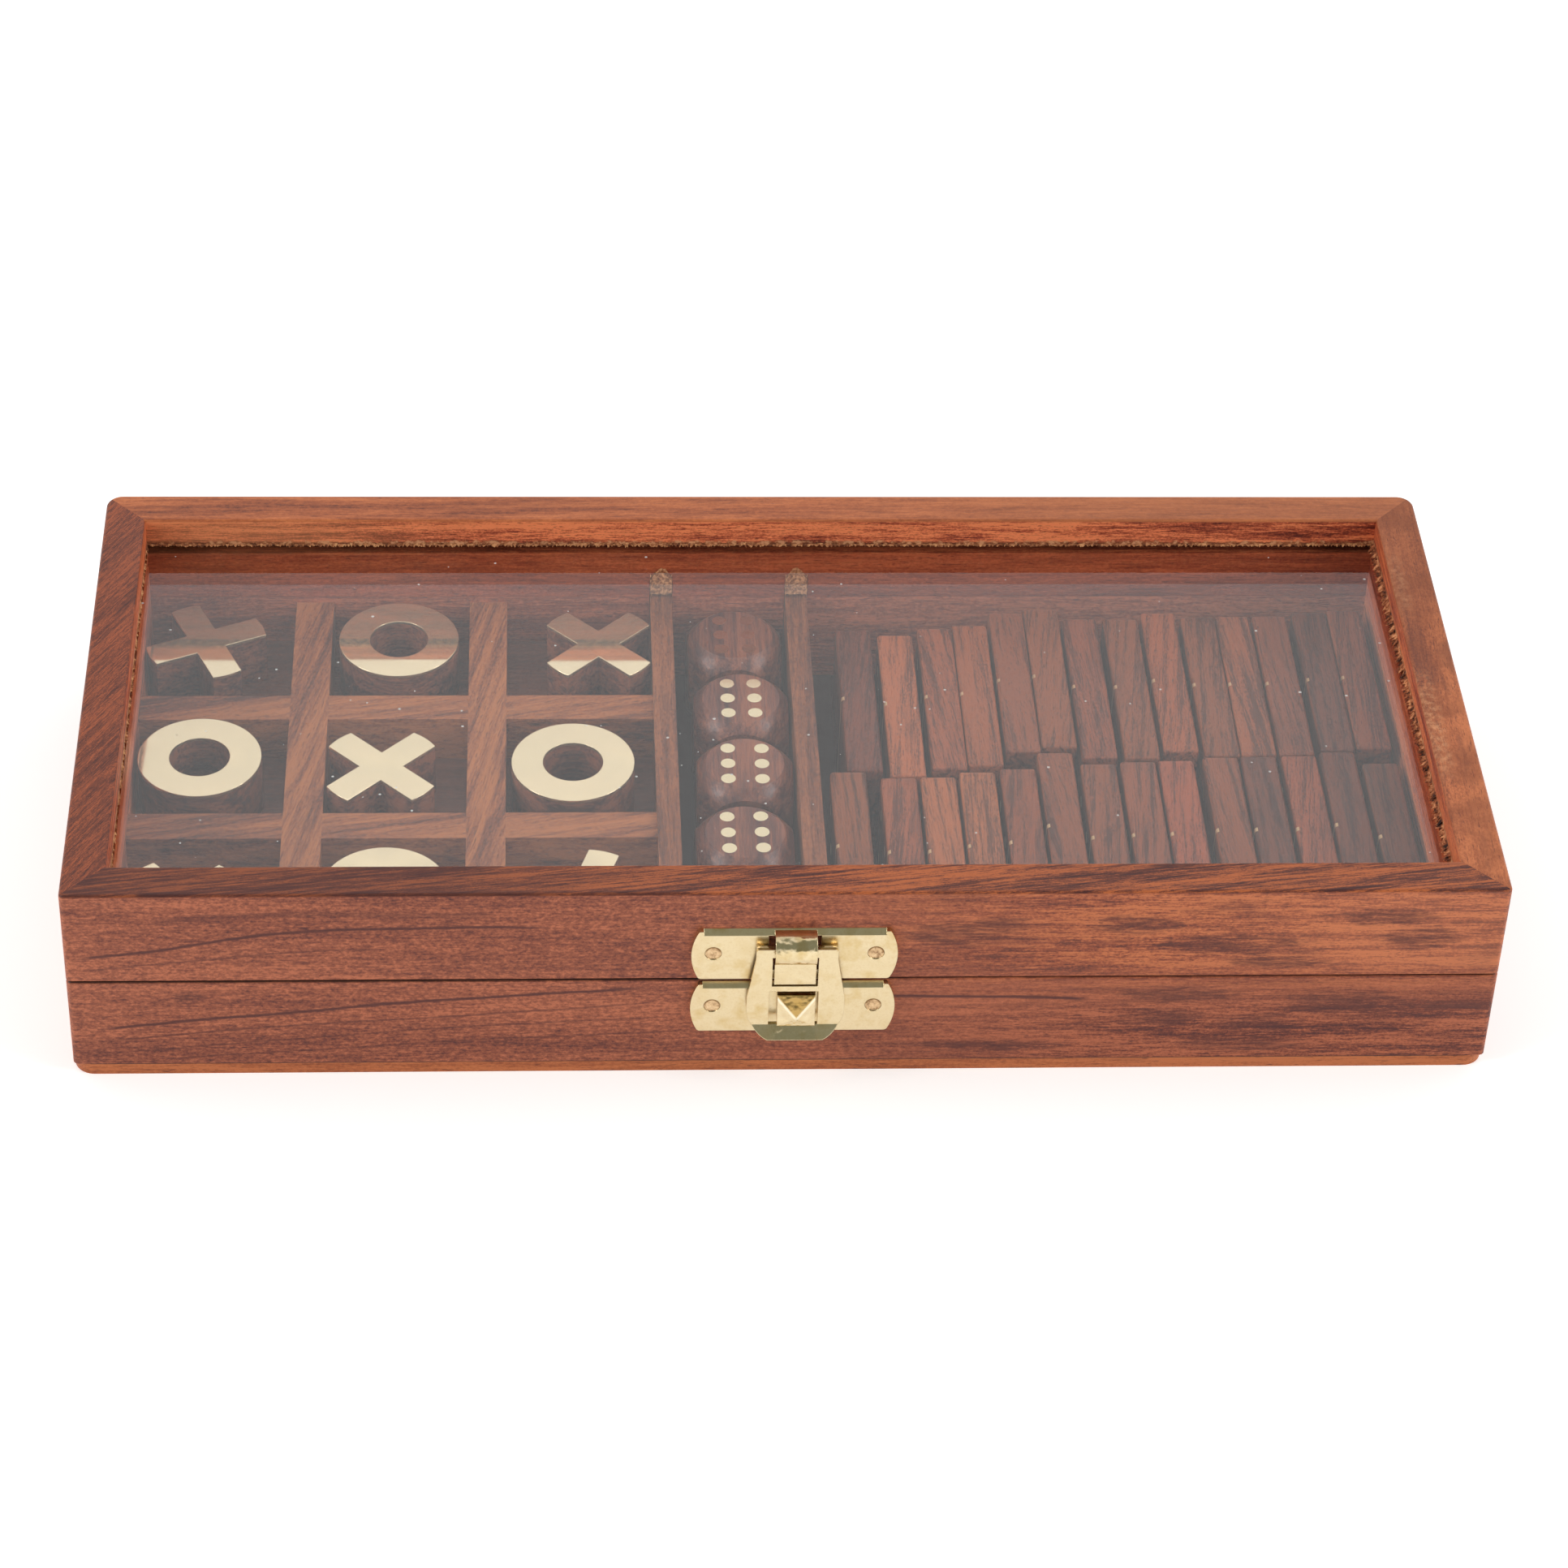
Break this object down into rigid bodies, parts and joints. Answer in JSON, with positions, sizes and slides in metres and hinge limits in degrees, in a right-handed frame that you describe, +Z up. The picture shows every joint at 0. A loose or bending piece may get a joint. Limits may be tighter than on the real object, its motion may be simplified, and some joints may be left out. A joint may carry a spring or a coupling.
{
  "type": "games compendium box",
  "caption": "Shallow hardwood games box with a hinged glass lid, front catch and wells for noughts and crosses, dice and dominoes, all lying inside.",
  "frame": {"origin": "centre of the underside", "axes": "+X along the box to the right as seen from the catch, +Y to the hinged back, +Z up"},
  "size_m": [0.2038, 0.102, 0.0336],
  "materials": {
    "case_wood": "satin rosewood",
    "panel_wood": "satin",
    "well_wood": "satin rosewood",
    "mark_wood": "polished",
    "dice_wood": "polished",
    "domino_wood": "satin",
    "brass": "polished",
    "nail_steel": "dull",
    "glass": "clear"
  },
  "bodies": {
    "base": {"bottom_panel": "panel_wood", "base_front_wall": "case_wood", "base_back_wall": "case_wood", "base_left_wall": "case_wood", "base_right_wall": "case_wood", "divider_left": "well_wood", "divider_right": "well_wood", "grid_floor_board": "well_wood", "grid_rail_left": "well_wood", "grid_rail_right": "well_wood", "grid_cross_front": "well_wood", "grid_cross_back": "well_wood", "catch_base_plate": "brass", "catch_base_nails": "nail_steel", "hinge_base_leaves": "brass", "hinge_base_nails": "nail_steel", "hinge_pins": "nail_steel"},
    "lid": {"lid_front_rail": "case_wood", "lid_back_rail": "case_wood", "lid_left_rail": "case_wood", "lid_right_rail": "case_wood", "glass_pane": "glass", "catch_lid_plate": "brass", "catch_lid_nails": "nail_steel", "hinge_lid_leaves": "brass", "hinge_lid_nails": "nail_steel"},
    "flap": {"catch_flap": "brass"},
    "cross_1": {"cross_1_body": "mark_wood", "cross_1_face": "brass"},
    "cross_2": {"cross_2_body": "mark_wood", "cross_2_face": "brass"},
    "cross_3": {"cross_3_body": "mark_wood", "cross_3_face": "brass"},
    "cross_4": {"cross_4_body": "mark_wood", "cross_4_face": "brass"},
    "cross_5": {"cross_5_body": "mark_wood", "cross_5_face": "brass"},
    "nought_1": {"nought_1_body": "mark_wood", "nought_1_face": "brass"},
    "nought_2": {"nought_2_body": "mark_wood", "nought_2_face": "brass"},
    "nought_3": {"nought_3_body": "mark_wood", "nought_3_face": "brass"},
    "nought_4": {"nought_4_body": "mark_wood", "nought_4_face": "brass"},
    "die_1": {"die_1": "dice_wood", "die_1_pips": "brass"},
    "die_2": {"die_2": "dice_wood", "die_2_pips": "brass"},
    "die_3": {"die_3": "dice_wood", "die_3_pips": "brass"},
    "die_4": {"die_4": "dice_wood", "die_4_pips": "brass"},
    "die_5": {"die_5": "dice_wood", "die_5_pips": "brass"},
    "dominoes_back": {"dominoes_back_row": "domino_wood", "dominoes_back_inlays": "brass"},
    "dominoes_front": {"dominoes_front_row": "domino_wood", "dominoes_front_inlays": "brass"}
  },
  "joints": [
    {"name": "lid_hinge", "type": "hinge", "parent": "base", "child": "lid", "pos_m": [0, 0.0492, 0.01755], "axis": [-1, 0, 0], "range_deg": [0, 180]},
    {"name": "flap_hinge", "type": "hinge", "parent": "lid", "child": "flap", "pos_m": [0.001, -0.04975, 0.0244], "axis": [-1, 0, 0], "range_deg": [0, 120]},
    {"name": "cross_1_lift", "type": "slide", "parent": "base", "child": "cross_1", "axis": [0, 0, 1], "range_m": [0, 0.008]},
    {"name": "cross_2_lift", "type": "slide", "parent": "base", "child": "cross_2", "axis": [0, 0, 1], "range_m": [0, 0.008]},
    {"name": "cross_3_lift", "type": "slide", "parent": "base", "child": "cross_3", "axis": [0, 0, 1], "range_m": [0, 0.008]},
    {"name": "cross_4_lift", "type": "slide", "parent": "base", "child": "cross_4", "axis": [0, 0, 1], "range_m": [0, 0.008]},
    {"name": "cross_5_lift", "type": "slide", "parent": "base", "child": "cross_5", "axis": [0, 0, 1], "range_m": [0, 0.008]},
    {"name": "nought_1_lift", "type": "slide", "parent": "base", "child": "nought_1", "axis": [0, 0, 1], "range_m": [0, 0.008]},
    {"name": "nought_2_lift", "type": "slide", "parent": "base", "child": "nought_2", "axis": [0, 0, 1], "range_m": [0, 0.008]},
    {"name": "nought_3_lift", "type": "slide", "parent": "base", "child": "nought_3", "axis": [0, 0, 1], "range_m": [0, 0.008]},
    {"name": "nought_4_lift", "type": "slide", "parent": "base", "child": "nought_4", "axis": [0, 0, 1], "range_m": [0, 0.008]},
    {"name": "die_1_lift", "type": "slide", "parent": "base", "child": "die_1", "axis": [0, 0, 1], "range_m": [0, 0.0085]},
    {"name": "die_2_lift", "type": "slide", "parent": "base", "child": "die_2", "axis": [0, 0, 1], "range_m": [0, 0.0085]},
    {"name": "die_3_lift", "type": "slide", "parent": "base", "child": "die_3", "axis": [0, 0, 1], "range_m": [0, 0.0085]},
    {"name": "die_4_lift", "type": "slide", "parent": "base", "child": "die_4", "axis": [0, 0, 1], "range_m": [0, 0.0085]},
    {"name": "die_5_lift", "type": "slide", "parent": "base", "child": "die_5", "axis": [0, 0, 1], "range_m": [0, 0.0085]},
    {"name": "dominoes_back_lift", "type": "slide", "parent": "base", "child": "dominoes_back", "axis": [0, 0, 1], "range_m": [0, 0.0077]},
    {"name": "dominoes_front_lift", "type": "slide", "parent": "base", "child": "dominoes_front", "axis": [0, 0, 1], "range_m": [0, 0.0077]}
  ]
}
